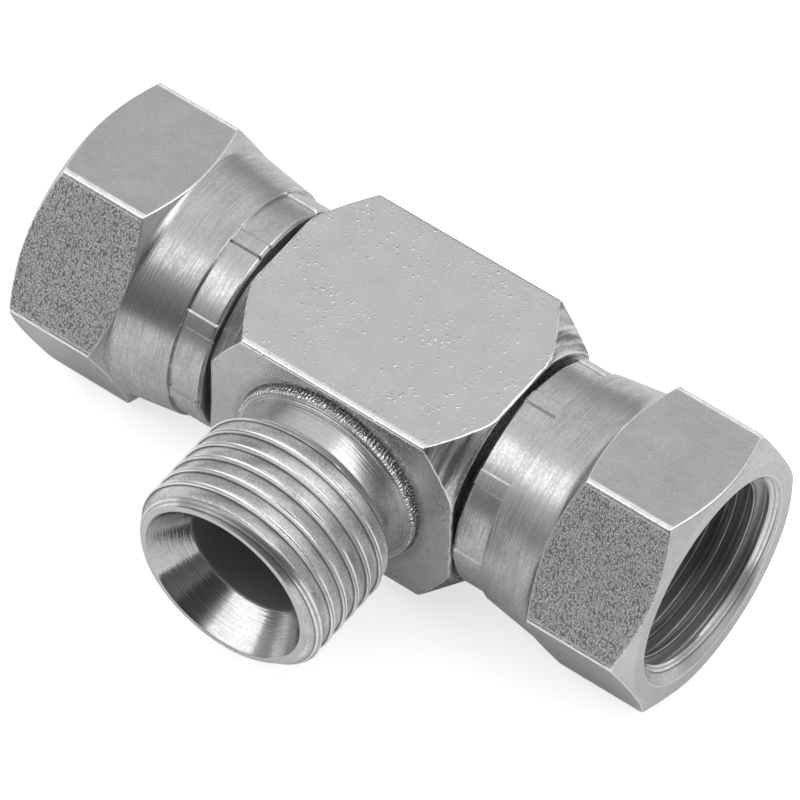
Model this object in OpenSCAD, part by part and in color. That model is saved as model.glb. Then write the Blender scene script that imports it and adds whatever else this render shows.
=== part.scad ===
// Swivel tee for G 1/2 pipe thread, in steel.
// One forging carries a male branch and two spigots. A hexagon nut swivels on each
// spigot, held by a collar that is crimped in behind the spigot's head.
// Frame: the run axis lies along X, the branch points along -Y, and +Z is up.
// The origin is where the two axes cross.

/* [Block] */
// Depth of the block along the branch axis
block_depth = 21.5; // [20:0.1:28]
// Height of the block
block_height = 22.5; // [20:0.1:28]
// Distance from the branch axis to each end face of the block
block_reach = 13.7; // [12:0.1:20]
// Radius at which the turned end face of the block meets its chamfer
block_end_r = 11.9; // [10.5:0.1:13]
// Rounding of the four long edges of the block
block_edge_r = 0.4; // [0.2:0.1:1.5]

/* [Thread] */
// Major diameter of the pipe thread
thread_major_d = 20.955; // [20.2:0.005:21.6]
// Pitch of the thread, which sets its depth
thread_pitch = 1.814; // [1.337:0.001:2.309]
// Included angle of the cone seats
cone_angle = 60; // [50:1:74]

/* [Branch] */
// Length of the neck, from the front of the block to the end of the thread
neck_len = 3.75; // [3:0.05:8]
// Depth of the neck below the crests of the thread
neck_depth = 1.33; // [1.2:0.01:2]
// Length of the threaded part, with the chamfers at its two ends
threaded_len = 12.6; // [8:0.1:20]
// Chamfer at the mouth
mouth_chamfer = 1.28; // [0.8:0.01:1.5]
// Width of the flat land round the cone seat
mouth_land = 0.5; // [0.2:0.1:0.7]
// Difference between the bore of the run and the smaller bore of the branch, in radius
bore_step = 0.1; // [0.1:0.05:2]
// Distance that the bead at the root stands out from the neck
bead_out = 0.85; // [0.6:0.05:1]
// Thickness of the bead
bead_t = 0.8; // [0.5:0.1:1]
// Height of the bead's middle above the front of the block
bead_rise = 0.7; // [0.5:0.1:1]
// Radius of the fillet between the bead and the front of the block
root_fillet_r = 0.8; // [0.4:0.1:1.2]

/* [Spigots] */
// Bore of the run
run_bore_d = 13; // [9:0.1:14]
// Wall of the nose cone at its tip
nose_wall = 1; // [0.6:0.1:2]
// Diameter of the head that holds the nut
head_d = 19.4; // [18.4:0.1:19.9]
// Length of the head's cylindrical band
head_land = 1.6; // [1:0.1:2.2]
// Height of the shoulder between the stem and the head
shoulder_height = 1.4; // [1.2:0.1:2]

/* [Nuts] */
// Width across the flats of the hexagon
hex_af = 25.5; // [25:0.1:30]
// Length of a nut
nut_length = 20.9; // [20.6:0.1:30]
// Length of the hexagon's corners, between their two chamfers
hex_corner_len = 9.2; // [6:0.1:10]
// Angle of the chamfers on the hexagon's corners, from the end face
chamfer_angle = 30; // [15:1:40]
// Distance from the flats in to the edge of the chamfer on the outer face
face_inset = 0.25; // [0.1:0.05:1]
// Distance that the top of the skirt stands out past the flats
skirt_over = 0.15; // [0.05:0.05:0.4]
// Wall of the skirt beside the collar
skirt_wall = 2.05; // [1.5:0.05:2.4]
// Distance that the countersink at the mouth goes past the thread
mouth_countersink = 0.42; // [0.1:0.02:1]
// Length of full thread in a nut
nut_thread_len = 8.4; // [5:0.1:8.6]
// Length of the relief groove's floor
relief_len = 1; // [0.5:0.1:1.2]
// Lean of the nuts' flats from level, as they rest with the branch tip down
nut_lean = 5.6; // [0:0.1:60]

/* [Crimp] */
// Length of the crimped collar
collar_len = 3.4; // [2:0.1:4.5]
// Step from the skirt down to the ribs of the collar
crimp_step = 0.15; // [0.05:0.05:0.4]
// Chamfer at the open end of the collar, inside and outside
collar_chamfer = 0.3; // [0.1:0.05:0.5]
// Length of the lip's bore
lip_len = 3.7; // [2:0.1:5]
// Radial overlap of the lip behind the head
lip_overlap = 0.7; // [0.4:0.05:1]
// Number of die marks round a collar
die_count = 8; // [4:1:12]
// Share of the circumference that the die marks take
die_share = 0.83; // [0.6:0.01:0.92]
// Depth of a die mark
die_depth = 0.2; // [0.1:0.05:0.4]
// Distance that the die marks reach into the skirt, past the collar's step
die_reach = 0.1; // [0.05:0.05:0.5]
// Place of the first rib round the left collar, in degrees from +Y towards +Z
left_die_turn = 6.5; // [0:0.5:90]
// Place of the first rib round the right collar, in degrees from +Y towards +Z
right_die_turn = 0.5; // [0:0.5:90]

/* [Clearances] */
// Gap between the end of the block and the collar of a nut
collar_gap = 0.6; // [0.3:0.05:1]
// Radial clearance of the head in the nut
swivel_clearance = 0.1; // [0.05:0.01:0.15]
// End play of a nut, between the head's shoulder and the crimped lip
end_play = 0.3; // [0.2:0.05:0.45]
// Radial clearance of the relief groove round a mating thread
relief_clearance = 0.17; // [0.1:0.01:0.4]

/* [Hidden] */
$fn = 96;
// Cuts run past the faces that they open by this much
past = 1;
steel = [0.72, 0.73, 0.74];
nut_steel = [0.66, 0.67, 0.68];
cone_slope = tan(cone_angle / 2);
chamfer_slope = tan(chamfer_angle);
// A pipe thread is this share of its pitch deep
thread_form = 0.640327;
thread_r = thread_major_d / 2;
minor_r = thread_r - thread_form * thread_pitch;

front = block_depth / 2;
neck_r = thread_r - neck_depth;
neck_reach = front + neck_len;
branch_reach = neck_reach + threaded_len;
mouth_rim_r = thread_r - mouth_chamfer;
seat_mouth_r = mouth_rim_r - mouth_land;
run_bore_r = run_bore_d / 2;
branch_bore_r = run_bore_r - bore_step;
bead_r = neck_r + bead_out;

head_r = head_d / 2;
stem_r = head_r - shoulder_height;
nose_r = run_bore_r + nose_wall;
collar_end = block_reach + collar_gap;
lip_top = collar_end + lip_len;
head_back = lip_top + lip_overlap + end_play;
shoulder_start = head_back - shoulder_height;
cone_start = head_back + head_land;
nose_reach = cone_start + (head_r - nose_r) / cone_slope;

lip_r = head_r - lip_overlap;
skirt_bore_r = head_r + swivel_clearance;
skirt_root_r = skirt_bore_r + skirt_wall;
collar_r = skirt_root_r - crimp_step;
collar_top = collar_end + collar_len;
nut_reach = collar_end + nut_length;
hex_r = hex_af / 2 / cos(30);
face_edge_r = hex_af / 2 - face_inset;
skirt_top_r = hex_af / 2 + skirt_over;
outer_corner = nut_reach - (hex_r - face_edge_r) * chamfer_slope;
inner_corner = outer_corner - hex_corner_len;
skirt_top = inner_corner - (hex_r - skirt_top_r) * chamfer_slope;
mouth_r = thread_r + mouth_countersink;
relief_r = thread_r + relief_clearance;
thread_mouth = nut_reach - (mouth_r - minor_r);
thread_root = thread_mouth - nut_thread_len;
// The thread runs out into the relief groove over half the groove's depth
relief_outer = thread_root - (relief_r - minor_r) / 2;
relief_inner = relief_outer - relief_len;
skirt_bore_top = relief_inner - (relief_r - skirt_bore_r);
die_pitch = 360 / die_count;
die_angle = die_pitch * die_share;

// Turns what is drawn along +Z so that it lies along the run axis
module along_run() {
    rotate([0, 90, 0])
    children();
}

// Turns what is drawn along +Z so that it lies along the branch
module along_branch() {
    rotate([90, 0, 0])
    children();
}

// A square with round corners, drawn with true arcs
module rounded_rectangle(size_x, size_y, r) {
    square([size_x - 2 * r, size_y], center = true);
    square([size_x, size_y - 2 * r], center = true);
    for (x = [-1, 1], y = [-1, 1])
        translate([x * (size_x / 2 - r), y * (size_y / 2 - r)])
        circle(r = r, $fn = 32);
}

// The forged block, with its ends turned to a cone and a flat face
module block() {
    half_diagonal = norm([block_depth, block_height]) / 2;
    cone_len = half_diagonal - block_end_r;
    intersection() {
        along_run()
        linear_extrude(2 * block_reach, center = true)
        rounded_rectangle(block_height, block_depth, block_edge_r);
        along_run()
        rotate_extrude()
        polygon([
            [0, -block_reach],
            [block_end_r, -block_reach],
            [half_diagonal, cone_len - block_reach],
            [half_diagonal, block_reach - cone_len],
            [block_end_r, block_reach],
            [0, block_reach]
        ]);
    }
}

// The male branch: neck, full body of the thread and chamfered mouth
module branch_stock() {
    along_branch()
    rotate_extrude()
    polygon([
        [0, 0],
        [neck_r, 0],
        [neck_r, neck_reach],
        [thread_r, neck_reach + neck_depth],
        [thread_r, branch_reach - mouth_chamfer],
        [mouth_rim_r, branch_reach],
        [0, branch_reach]
    ]);
}

// The bead round the root of the neck, with a fillet down to the block
module root_bead() {
    bead_mid_r = bead_r - bead_t / 2;
    along_branch()
    rotate_extrude() {
        translate([bead_mid_r, front + bead_rise])
        circle(r = bead_t / 2, $fn = 32);
        translate([0, front - past])
        square([bead_r, bead_rise + past]);
        difference() {
            translate([0, front - past])
            square([bead_r + root_fillet_r, root_fillet_r + past]);
            translate([bead_r + root_fillet_r, front + root_fillet_r])
            circle(r = root_fillet_r, $fn = 48);
            translate([bead_r, front + bead_rise])
            square([2 * root_fillet_r, 2 * root_fillet_r]);
        }
    }
}

// One spigot: stem, shoulder, head and nose cone, along +X
module spigot() {
    along_run()
    rotate_extrude()
    polygon([
        [0, 0],
        [stem_r, 0],
        [stem_r, shoulder_start],
        [head_r, head_back],
        [head_r, cone_start],
        [nose_r, nose_reach],
        [0, nose_reach]
    ]);
}

// The passage drilled through the run
module run_passage() {
    along_run()
    cylinder(r = run_bore_r, h = 2 * (nose_reach + past), center = true);
}

// The passage of the branch, from the run axis: bore and cone seat
module branch_passage() {
    seat_depth = (seat_mouth_r - branch_bore_r) / cone_slope;
    along_branch()
    rotate_extrude()
    polygon([
        [0, 0],
        [branch_bore_r, 0],
        [branch_bore_r, branch_reach - seat_depth],
        [seat_mouth_r, branch_reach],
        [seat_mouth_r, branch_reach + past],
        [0, branch_reach + past]
    ]);
}

module tee_body() {
    color(steel)
    difference() {
        union() {
            block();
            branch_stock();
            root_bead();
            spigot();
            mirror([1, 0, 0])
            spigot();
        }
        run_passage();
        branch_passage();
    }
}

// What turning leaves of the nut's bar: collar, flared skirt and two corner chamfers,
// which run on past the bar's corners
module nut_turning() {
    along_run()
    rotate_extrude()
    polygon([
        [0, collar_end],
        [collar_r - collar_chamfer, collar_end],
        [collar_r, collar_end + collar_chamfer],
        [collar_r, collar_top],
        [skirt_root_r, collar_top],
        [skirt_top_r, skirt_top],
        [hex_r + past, inner_corner + past * chamfer_slope],
        [hex_r + past, outer_corner - past * chamfer_slope],
        [face_edge_r, nut_reach],
        [0, nut_reach]
    ]);
}

// The hexagon bar that the nut is turned from, with a flat on top before it leans
module hexagon_bar() {
    rotate([-nut_lean, 0, 0])
    translate([collar_end - past, 0, 0])
    along_run()
    rotate(30)
    cylinder(r = hex_r, h = nut_length + 2 * past, $fn = 6);
}

// Everything hollow in the nut: mouth, thread, relief groove, skirt bore and lip
module nut_hollow() {
    along_run()
    rotate_extrude()
    polygon([
        [0, collar_end - past],
        [lip_r + collar_chamfer, collar_end - past],
        [lip_r + collar_chamfer, collar_end],
        [lip_r, collar_end + collar_chamfer],
        [lip_r, lip_top],
        [skirt_bore_r, lip_top + skirt_bore_r - lip_r],
        [skirt_bore_r, skirt_bore_top],
        [relief_r, relief_inner],
        [relief_r, relief_outer],
        [minor_r, thread_root],
        [minor_r, thread_mouth],
        [mouth_r, nut_reach],
        [mouth_r, nut_reach + past],
        [0, nut_reach + past]
    ]);
}

// One mark of the crimping die, centred on +Y
module die_mark() {
    floor_r = collar_r - die_depth;
    along_run()
    rotate(90 - die_angle / 2)
    rotate_extrude(angle = die_angle)
    translate([floor_r, collar_end - past])
    square([die_depth + past, past + collar_len + die_reach]);
}

// One nut on the +X side, its first rib turned by die_turn
module swivel_nut(die_turn) {
    difference() {
        intersection() {
            nut_turning();
            hexagon_bar();
        }
        nut_hollow();
        for (i = [0 : die_count - 1])
            rotate([die_turn + (i + 0.5) * die_pitch, 0, 0])
            die_mark();
    }
}

module left_swivel_nut() {
    color(nut_steel)
    mirror([1, 0, 0])
    swivel_nut(left_die_turn);
}

module right_swivel_nut() {
    color(nut_steel)
    swivel_nut(right_die_turn);
}

tee_body();
left_swivel_nut();
right_swivel_nut();
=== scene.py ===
"""Looks of a swivel tee for G 1/2 pipe thread, in zinc-plated steel.

One forged body carries a male branch and two spigots. A crimped hexagon nut swivels on each
spigot. The classes hold their sizes in millimetres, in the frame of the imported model: the run
axis lies along X, the branch points along -Y and Z is up. Meshes are written in metres.
"""

from __future__ import annotations

import logging
import math
from dataclasses import dataclass, field
from enum import Enum
from typing import Any, Callable, ClassVar, Sequence

import bmesh
import bpy
import numpy as np
from mathutils import Matrix, Vector


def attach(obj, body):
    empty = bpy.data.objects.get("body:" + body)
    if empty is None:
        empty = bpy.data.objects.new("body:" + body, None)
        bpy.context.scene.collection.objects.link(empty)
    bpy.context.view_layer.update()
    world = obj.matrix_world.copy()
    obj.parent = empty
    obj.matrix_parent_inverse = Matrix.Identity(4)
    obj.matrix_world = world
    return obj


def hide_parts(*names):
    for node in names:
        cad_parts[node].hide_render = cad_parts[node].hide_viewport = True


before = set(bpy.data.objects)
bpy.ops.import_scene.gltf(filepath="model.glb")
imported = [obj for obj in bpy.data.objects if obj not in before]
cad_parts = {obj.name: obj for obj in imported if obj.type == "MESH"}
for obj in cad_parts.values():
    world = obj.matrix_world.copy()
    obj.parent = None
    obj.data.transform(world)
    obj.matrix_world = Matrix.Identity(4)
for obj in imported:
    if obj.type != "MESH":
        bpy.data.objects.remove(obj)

Array = np.ndarray
MM = 0.001
TURN = 2 * math.pi
SIXTH = TURN / 6
# Slope of the cone seats and of the hexagons' chamfers
SLOPE = math.tan(math.radians(30))
# Faces that meet at more than this angle keep a sharp edge
SHARP_ANGLE = math.radians(38)
# Keeps a division clear of zero
TINY = 1e-9
log = logging.getLogger("swivel_tee")


class Wall(Enum):
    """The walls of the part, by the tool that left them."""

    FORGED = 0
    BLOCK_END = 1
    STEM = 2
    NECK = 3
    BEAD = 4
    THREAD = 5
    MOUTH = 6
    SEAT = 7
    BORE = 8
    BRANCH_BORE = 9
    HEX_FLAT = 10
    CHAMFER = 11
    SKIRT = 12
    COLLAR = 13
    LIP = 14
    NUT_THREAD = 15
    COUNTERSINK = 16
    ROOT = 17
    CHASE = 18
    FRONT = 19


class Hand(Enum):
    """Which end of the run a nut is on, as the sign of X."""

    LEFT = -1
    RIGHT = 1


@dataclass(frozen=True)
class Corner:
    """One corner of a wall's section, with the wall that follows it.

    The section is drawn in a half plane through its axis. x and r hold one value for each
    column of the surface, or one for all.
    """

    x: Array | float
    r: Array | float
    wall: Wall
    rounding: float = 0.0
    wear: float = 0.0
    rows: int = 0
    guard: float = 0.3


@dataclass
class Section:
    """Rows of points along a section, each with its measure of worn brightness and painted light,
    and the wall between two rows.

    A rounding takes at most leg_share of a wall, and has end_wear of its corner's worn brightness
    and painted light at its two ends. A guard row lies at most guard_share of a row's step from the
    end of its wall.
    """

    points: Array
    wear: Array
    walls: Array
    leg_share: ClassVar[float] = 0.45
    end_wear: ClassVar[float] = 0.4
    guard_share: ClassVar[float] = 0.3

    @classmethod
    def trace(cls, corners: Sequence[Corner], steps: int = 4) -> Section:
        """Carries a section through its corners.

        Each corner is rounded by a quadratic Bezier curve, (1-t)^2 A + 2t(1-t) C + t^2 B, whose
        ends A and B lie on its two walls at the length of the rounding, or nearer on a short
        wall. A wall with rows also gets one with neither worn brightness nor painted light at the
        guard distance from each of its ends.

        Args:
            corners: The corners in order. The first and the last are never rounded.
            steps: Steps in each rounding.

        Returns:
            The section, with its points as an array of rows, (x, r) and columns.
        """
        shape = np.broadcast_shapes(*[np.shape(v) for c in corners for v in (c.x, c.r)])
        place = np.array([[np.broadcast_to(v, shape) for v in (c.x, c.r)] for c in corners])
        leg = np.diff(place, axis=0)
        length = np.linalg.norm(leg, axis=1)
        unit = leg / np.maximum(length, TINY)[:, None]
        t = np.linspace(0, 1, steps + 1).reshape(-1, *[1] * place[0].ndim)
        curves: list[Array | None] = [None] * len(corners)
        for k, corner in enumerate(corners[1:-1], start=1):
            if corner.rounding > 0:
                legs = np.minimum(corner.rounding, cls.leg_share * length[k - 1:k + 1])
                before = place[k] - unit[k - 1] * legs[0]
                after = place[k] + unit[k] * legs[1]
                curves[k] = (1 - t) ** 2 * before + 2 * t * (1 - t) * place[k] + t**2 * after
        rows: list[Array] = []
        wear: list[float] = []
        walls: list[int] = []
        for k, corner in enumerate(corners):
            if curves[k] is None:
                rows.append(place[k])
                wear.append(corner.wear)
            else:
                rows.extend(curves[k])
                shares = (cls.end_wear, *[1.0] * (steps - 1), cls.end_wear)
                wear.extend(corner.wear * share for share in shares)
                walls.extend([corner.wall.value] * steps)
            if k + 1 == len(corners):
                break
            begin = rows[-1]
            end = place[k + 1] if curves[k + 1] is None else curves[k + 1][0]
            between: list[Array] = []
            if corner.rows:
                span = np.maximum(np.linalg.norm(end - begin, axis=0), TINY)
                edge = np.minimum(corner.guard / span, cls.guard_share / (corner.rows + 1))
                even = np.linspace(0, 1, corner.rows + 2)
                between = [begin + (end - begin) * (edge + (1 - 2 * edge) * s) for s in even]
            rows.extend(between)
            wear.extend(0.0 for _ in between)
            walls.extend([corner.wall.value] * (len(between) + 1))
        return cls(np.stack(rows), np.array(wear), np.array(walls))

    def starting_at(self, first: int) -> Section:
        """Returns the rows from the first one named on, and the walls between them."""
        return Section(self.points[first:], self.wear[first:], self.walls[first:])


@dataclass
class Surface:
    """A closed surface under construction, in millimetres."""

    points: list[Array] = field(default_factory=list)
    wear: list[Array] = field(default_factory=list)
    grain: list[Array] = field(default_factory=list)
    quads: list[Array] = field(default_factory=list)
    walls: list[Array] = field(default_factory=list)
    count: int = 0

    def add_points(self, points: Array, wear: Array | float = 0.0,
                   grain: Array | float = 1.0) -> Array:
        """Adds points.

        Args:
            points: Coordinates, with x, y and z as the last axis.
            wear: Worn brightness and painted highlights above zero and painted shade below, at each
                point, or one value for all.
            grain: How coarse the grain is at each point, or one value for all.

        Returns:
            The number of each point, in the shape of the points' leading axes.
        """
        shape = points.shape[:-1]
        number = self.count + np.arange(math.prod(shape)).reshape(shape)
        self.points.append(points.reshape(-1, 3))
        self.wear.append(np.broadcast_to(np.asarray(wear, float), shape).reshape(-1))
        self.grain.append(np.broadcast_to(np.asarray(grain, float), shape).reshape(-1))
        self.count += math.prod(shape)
        return number

    def at(self, number: Array) -> Array:
        """Returns the coordinates of numbered points."""
        return np.concatenate(self.points)[number]

    def add_grid(self, number: Array, walls: Array | Wall, around: bool = True,
                 keep: Array | None = None) -> None:
        """Joins rows of points by quads.

        Args:
            number: Point numbers, rows by columns.
            walls: The wall between each two rows, that of each quad, or one for all.
            around: Whether the last column joins the first.
            keep: Which quads to keep, or None for all.
        """
        grid = np.concatenate([number, number[:, :1]], axis=1) if around else number
        quads = np.stack([grid[:-1, :-1], grid[:-1, 1:], grid[1:, 1:], grid[1:, :-1]], axis=-1)
        kind = np.asarray(walls.value if isinstance(walls, Wall) else walls)
        kind = kind[:, None] if kind.ndim == 1 else kind
        kept = np.ones(quads.shape[:2], bool) if keep is None else keep
        self.quads.append(quads[kept])
        self.walls.append(np.broadcast_to(kind, quads.shape[:2])[kept].astype(int))

    def build(self, name: str, finishes: dict[Wall, bpy.types.Material]) -> bpy.types.Object:
        """Writes the surface into a mesh object.

        A corner that repeats the one before it is left out, so a quad with a closed side becomes
        a triangle and one that has closed up is dropped, as are points that nothing uses.

        Args:
            name: Name of the object.
            finishes: The material of each wall.

        Returns:
            The object, at the origin.
        """
        quads = np.concatenate(self.quads)
        walls = np.concatenate(self.walls)
        keep = quads != np.roll(quads, -1, axis=1)
        sides = keep.sum(axis=1)
        whole = sides >= 3
        quads, keep, sides, walls = quads[whole], keep[whole], sides[whole], walls[whole]
        used, corners = np.unique(quads[keep], return_inverse=True)
        kinds, slot = np.unique(walls, return_inverse=True)
        mesh = bpy.data.meshes.new(name)
        mesh.vertices.add(len(used))
        mesh.vertices.foreach_set("co", (np.concatenate(self.points)[used] * MM).ravel())
        mesh.loops.add(len(corners))
        mesh.loops.foreach_set("vertex_index", corners.astype(np.int32))
        mesh.polygons.add(len(sides))
        mesh.polygons.foreach_set("loop_start", (np.cumsum(sides) - sides).astype(np.int32))
        mesh.polygons.foreach_set("material_index", slot.astype(np.int32))
        mesh.polygons.foreach_set("use_smooth", np.ones(len(sides), bool))
        mesh.update(calc_edges=True)
        # The first measure holds worn brightness and painted highlights above zero and painted
        # shade below; the second holds how coarse the grain is, which on the hexagon flats is a
        # painted light and shade set flat by flat.
        for key, values in (("wear", self.wear), ("grain", self.grain)):
            made = mesh.attributes.new(key, "FLOAT", "POINT")
            made.data.foreach_set("value", np.concatenate(values)[used].astype(np.float32))
        for kind in kinds:
            mesh.materials.append(finishes[Wall(int(kind))])
        shell = bmesh.new()
        shell.from_mesh(mesh)
        bmesh.ops.recalc_face_normals(shell, faces=shell.faces)
        log.info("%s: %d triangles, %d open edges, %.0f mm3", name,
                 sum(len(f.verts) - 2 for f in shell.faces),
                 sum(not e.is_manifold for e in shell.edges), shell.calc_volume() / MM**3)
        shell.to_mesh(mesh)
        shell.free()
        mesh.set_sharp_from_angle(angle=SHARP_ANGLE)
        piece = bpy.data.objects.new(name, mesh)
        bpy.context.scene.collection.objects.link(piece)
        return piece


@dataclass(frozen=True)
class PipeThread:
    """The form of a G 1/2 pipe thread, right-handed.

    A phase of 0 is the middle of a crest and 1 the next crest. knots are the phases that have a
    row of points. profile gives the height above the root, from 0 to 1, at phases away from a
    crest: a narrow flat with a slight lip on each side, straight flanks and a rounded root.
    The table after profile gives the marks in the colour: a bright line along each side of the
    crest, partly worn bright and partly a painted highlight, and painted shade, which counts below
    zero: a darker line down the crest's middle and a dark shadow line beyond the bright one on the
    mouth's side. A row within closing of a ring closes up on it, and spare_turns are wound past
    each ring.
    """

    major_d: float = 20.955
    pitch: float = 1.814
    depth_share: float = 0.640327
    knots: tuple[float, ...] = (0, 0.035, 0.065, 0.1, 0.125, 0.15, 0.2, 0.3, 0.37, 0.42, 0.46, 0.5,
                                0.54, 0.58, 0.63, 0.7, 0.8, 0.875, 0.9, 0.935, 0.965)
    profile: tuple[tuple[float, float], ...] = (
        (0, 0.95), (0.035, 0.953), (0.065, 0.968), (0.1, 1), (0.125, 0.9), (0.3, 0.36),
        (0.37, 0.18), (0.42, 0.075), (0.46, 0.02), (0.5, 0))
    # Bright lines on the crest's lips, partly worn bright and partly a painted highlight; below
    # zero, painted shade: a darker line down the crest's middle and a dark shadow line on the flank
    # just past the lip on the mouth's side.
    polish_and_painted_light: tuple[tuple[float, float], ...] = (
        (-0.2, 0), (-0.125, 0.4), (-0.1, 1), (-0.065, 1), (-0.035, 0.1), (0, -0.5), (0.035, 0.1),
        (0.065, 1), (0.1, 1), (0.125, 0.3), (0.15, -1.4), (0.2, -0.1), (0.3, 0))
    closing: float = 0.004
    spare_turns: int = 2

    @property
    def major_r(self) -> float:
        """Radius over the crests of a male thread."""
        return self.major_d / 2

    @property
    def depth(self) -> float:
        """Depth of the thread."""
        return self.depth_share * self.pitch

    @property
    def minor_r(self) -> float:
        """Radius at the roots of a male thread, and over the crests of a female one."""
        return self.major_r - self.depth

    def height(self, phase: Array) -> Array:
        """Height of the form above its root, from 0 to 1."""
        return np.interp(np.minimum(phase % 1, 1 - phase % 1), *zip(*self.profile))

    def crest_wear_and_painted_light(self, phase: Array) -> Array:
        """Marks of the form in the colour: bright above zero, partly worn and partly a painted
        highlight, and painted shade below zero.
        """
        return np.interp((phase + 0.5) % 1 - 0.5, *zip(*self.polish_and_painted_light))

    def wind(self, surface: Surface, first: Array, last: Array, angles: Array,
             reach: tuple[float, float], crest_at: float, sense: int,
             radius: Callable[[Array, Array], tuple[Array, Array]],
             place: Callable[[Array, Array, Array], Array]) -> None:
        """Winds a band of thread between two rings.

        A row keeps one phase of the form, so it climbs a pitch a turn: x = crest + pitch *
        (phase + angle / turn). Rows beyond a ring close up on it, and after a turn a row joins
        the row of the same phase a pitch further on.

        Args:
            surface: The surface that the band joins.
            first: Point numbers of the first ring.
            last: Point numbers of the last ring.
            angles: Angle of each column.
            reach: Places of the two rings along the axis.
            crest_at: Place of a crest at angle zero.
            sense: 1 where x grows with the angle, -1 where it falls.
            radius: Gives the radius and the wall from the place along the axis and the height of
                the form.
            place: Gives coordinates from x, r and the angle.
        """
        start, end = reach
        low = math.floor((start - crest_at) / self.pitch) - self.spare_turns
        high = math.ceil((end - crest_at) / self.pitch) + self.spare_turns
        phase = (np.arange(low, high)[:, None] + np.array(self.knots)[None, :]).ravel()
        x = crest_at + self.pitch * (phase[:, None] + sense * angles[None, :] / TURN)
        inside = np.clip(x, start, end)
        r, walls = radius(inside, self.height(phase)[:, None] + 0 * x)
        number = surface.add_points(place(inside, r, angles[None, :] + 0 * x),
                                    self.crest_wear_and_painted_light(phase)[:, None] + 0 * x)
        number = np.where(x <= start + self.closing, first,
                          np.where(x >= end - self.closing, last, number))
        turn = len(self.knots)
        seam = np.full(len(phase), last[0] if sense > 0 else first[0])
        if sense > 0:
            seam[:-turn] = number[turn:, 0]
        else:
            seam[turn:] = number[:-turn, 0]
        band = np.concatenate([number, seam[:, None]], axis=1)
        surface.add_grid(band, walls[:-1], around=False)


def merged(angles: Sequence[Array], nearest: float) -> Array:
    """Returns all the angles in order, without those closer than nearest to the one before."""
    line = np.sort(np.concatenate([np.ravel(a) % TURN for a in angles]))
    keep = np.append(True, np.diff(line) > nearest)
    keep[-1] &= line[-1] - line[0] < TURN - nearest
    return line[keep]


@dataclass(frozen=True)
class SwivelFit:
    """The sizes that a spigot shares with the nut that swivels on it."""

    block_reach: float = 13.7
    collar_gap: float = 0.6
    lip_len: float = 3.7
    lip_overlap: float = 0.7
    end_play: float = 0.3
    swivel_clearance: float = 0.1
    head_r: float = 9.7
    shoulder_height: float = 1.4

    @property
    def collar_end(self) -> float:
        """Place of the collar's open end."""
        return self.block_reach + self.collar_gap

    @property
    def lip_top(self) -> float:
        """Place where the lip's bore ends."""
        return self.collar_end + self.lip_len

    @property
    def head_back(self) -> float:
        """Place where the shoulder reaches the head."""
        return self.lip_top + self.lip_overlap + self.end_play


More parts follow.
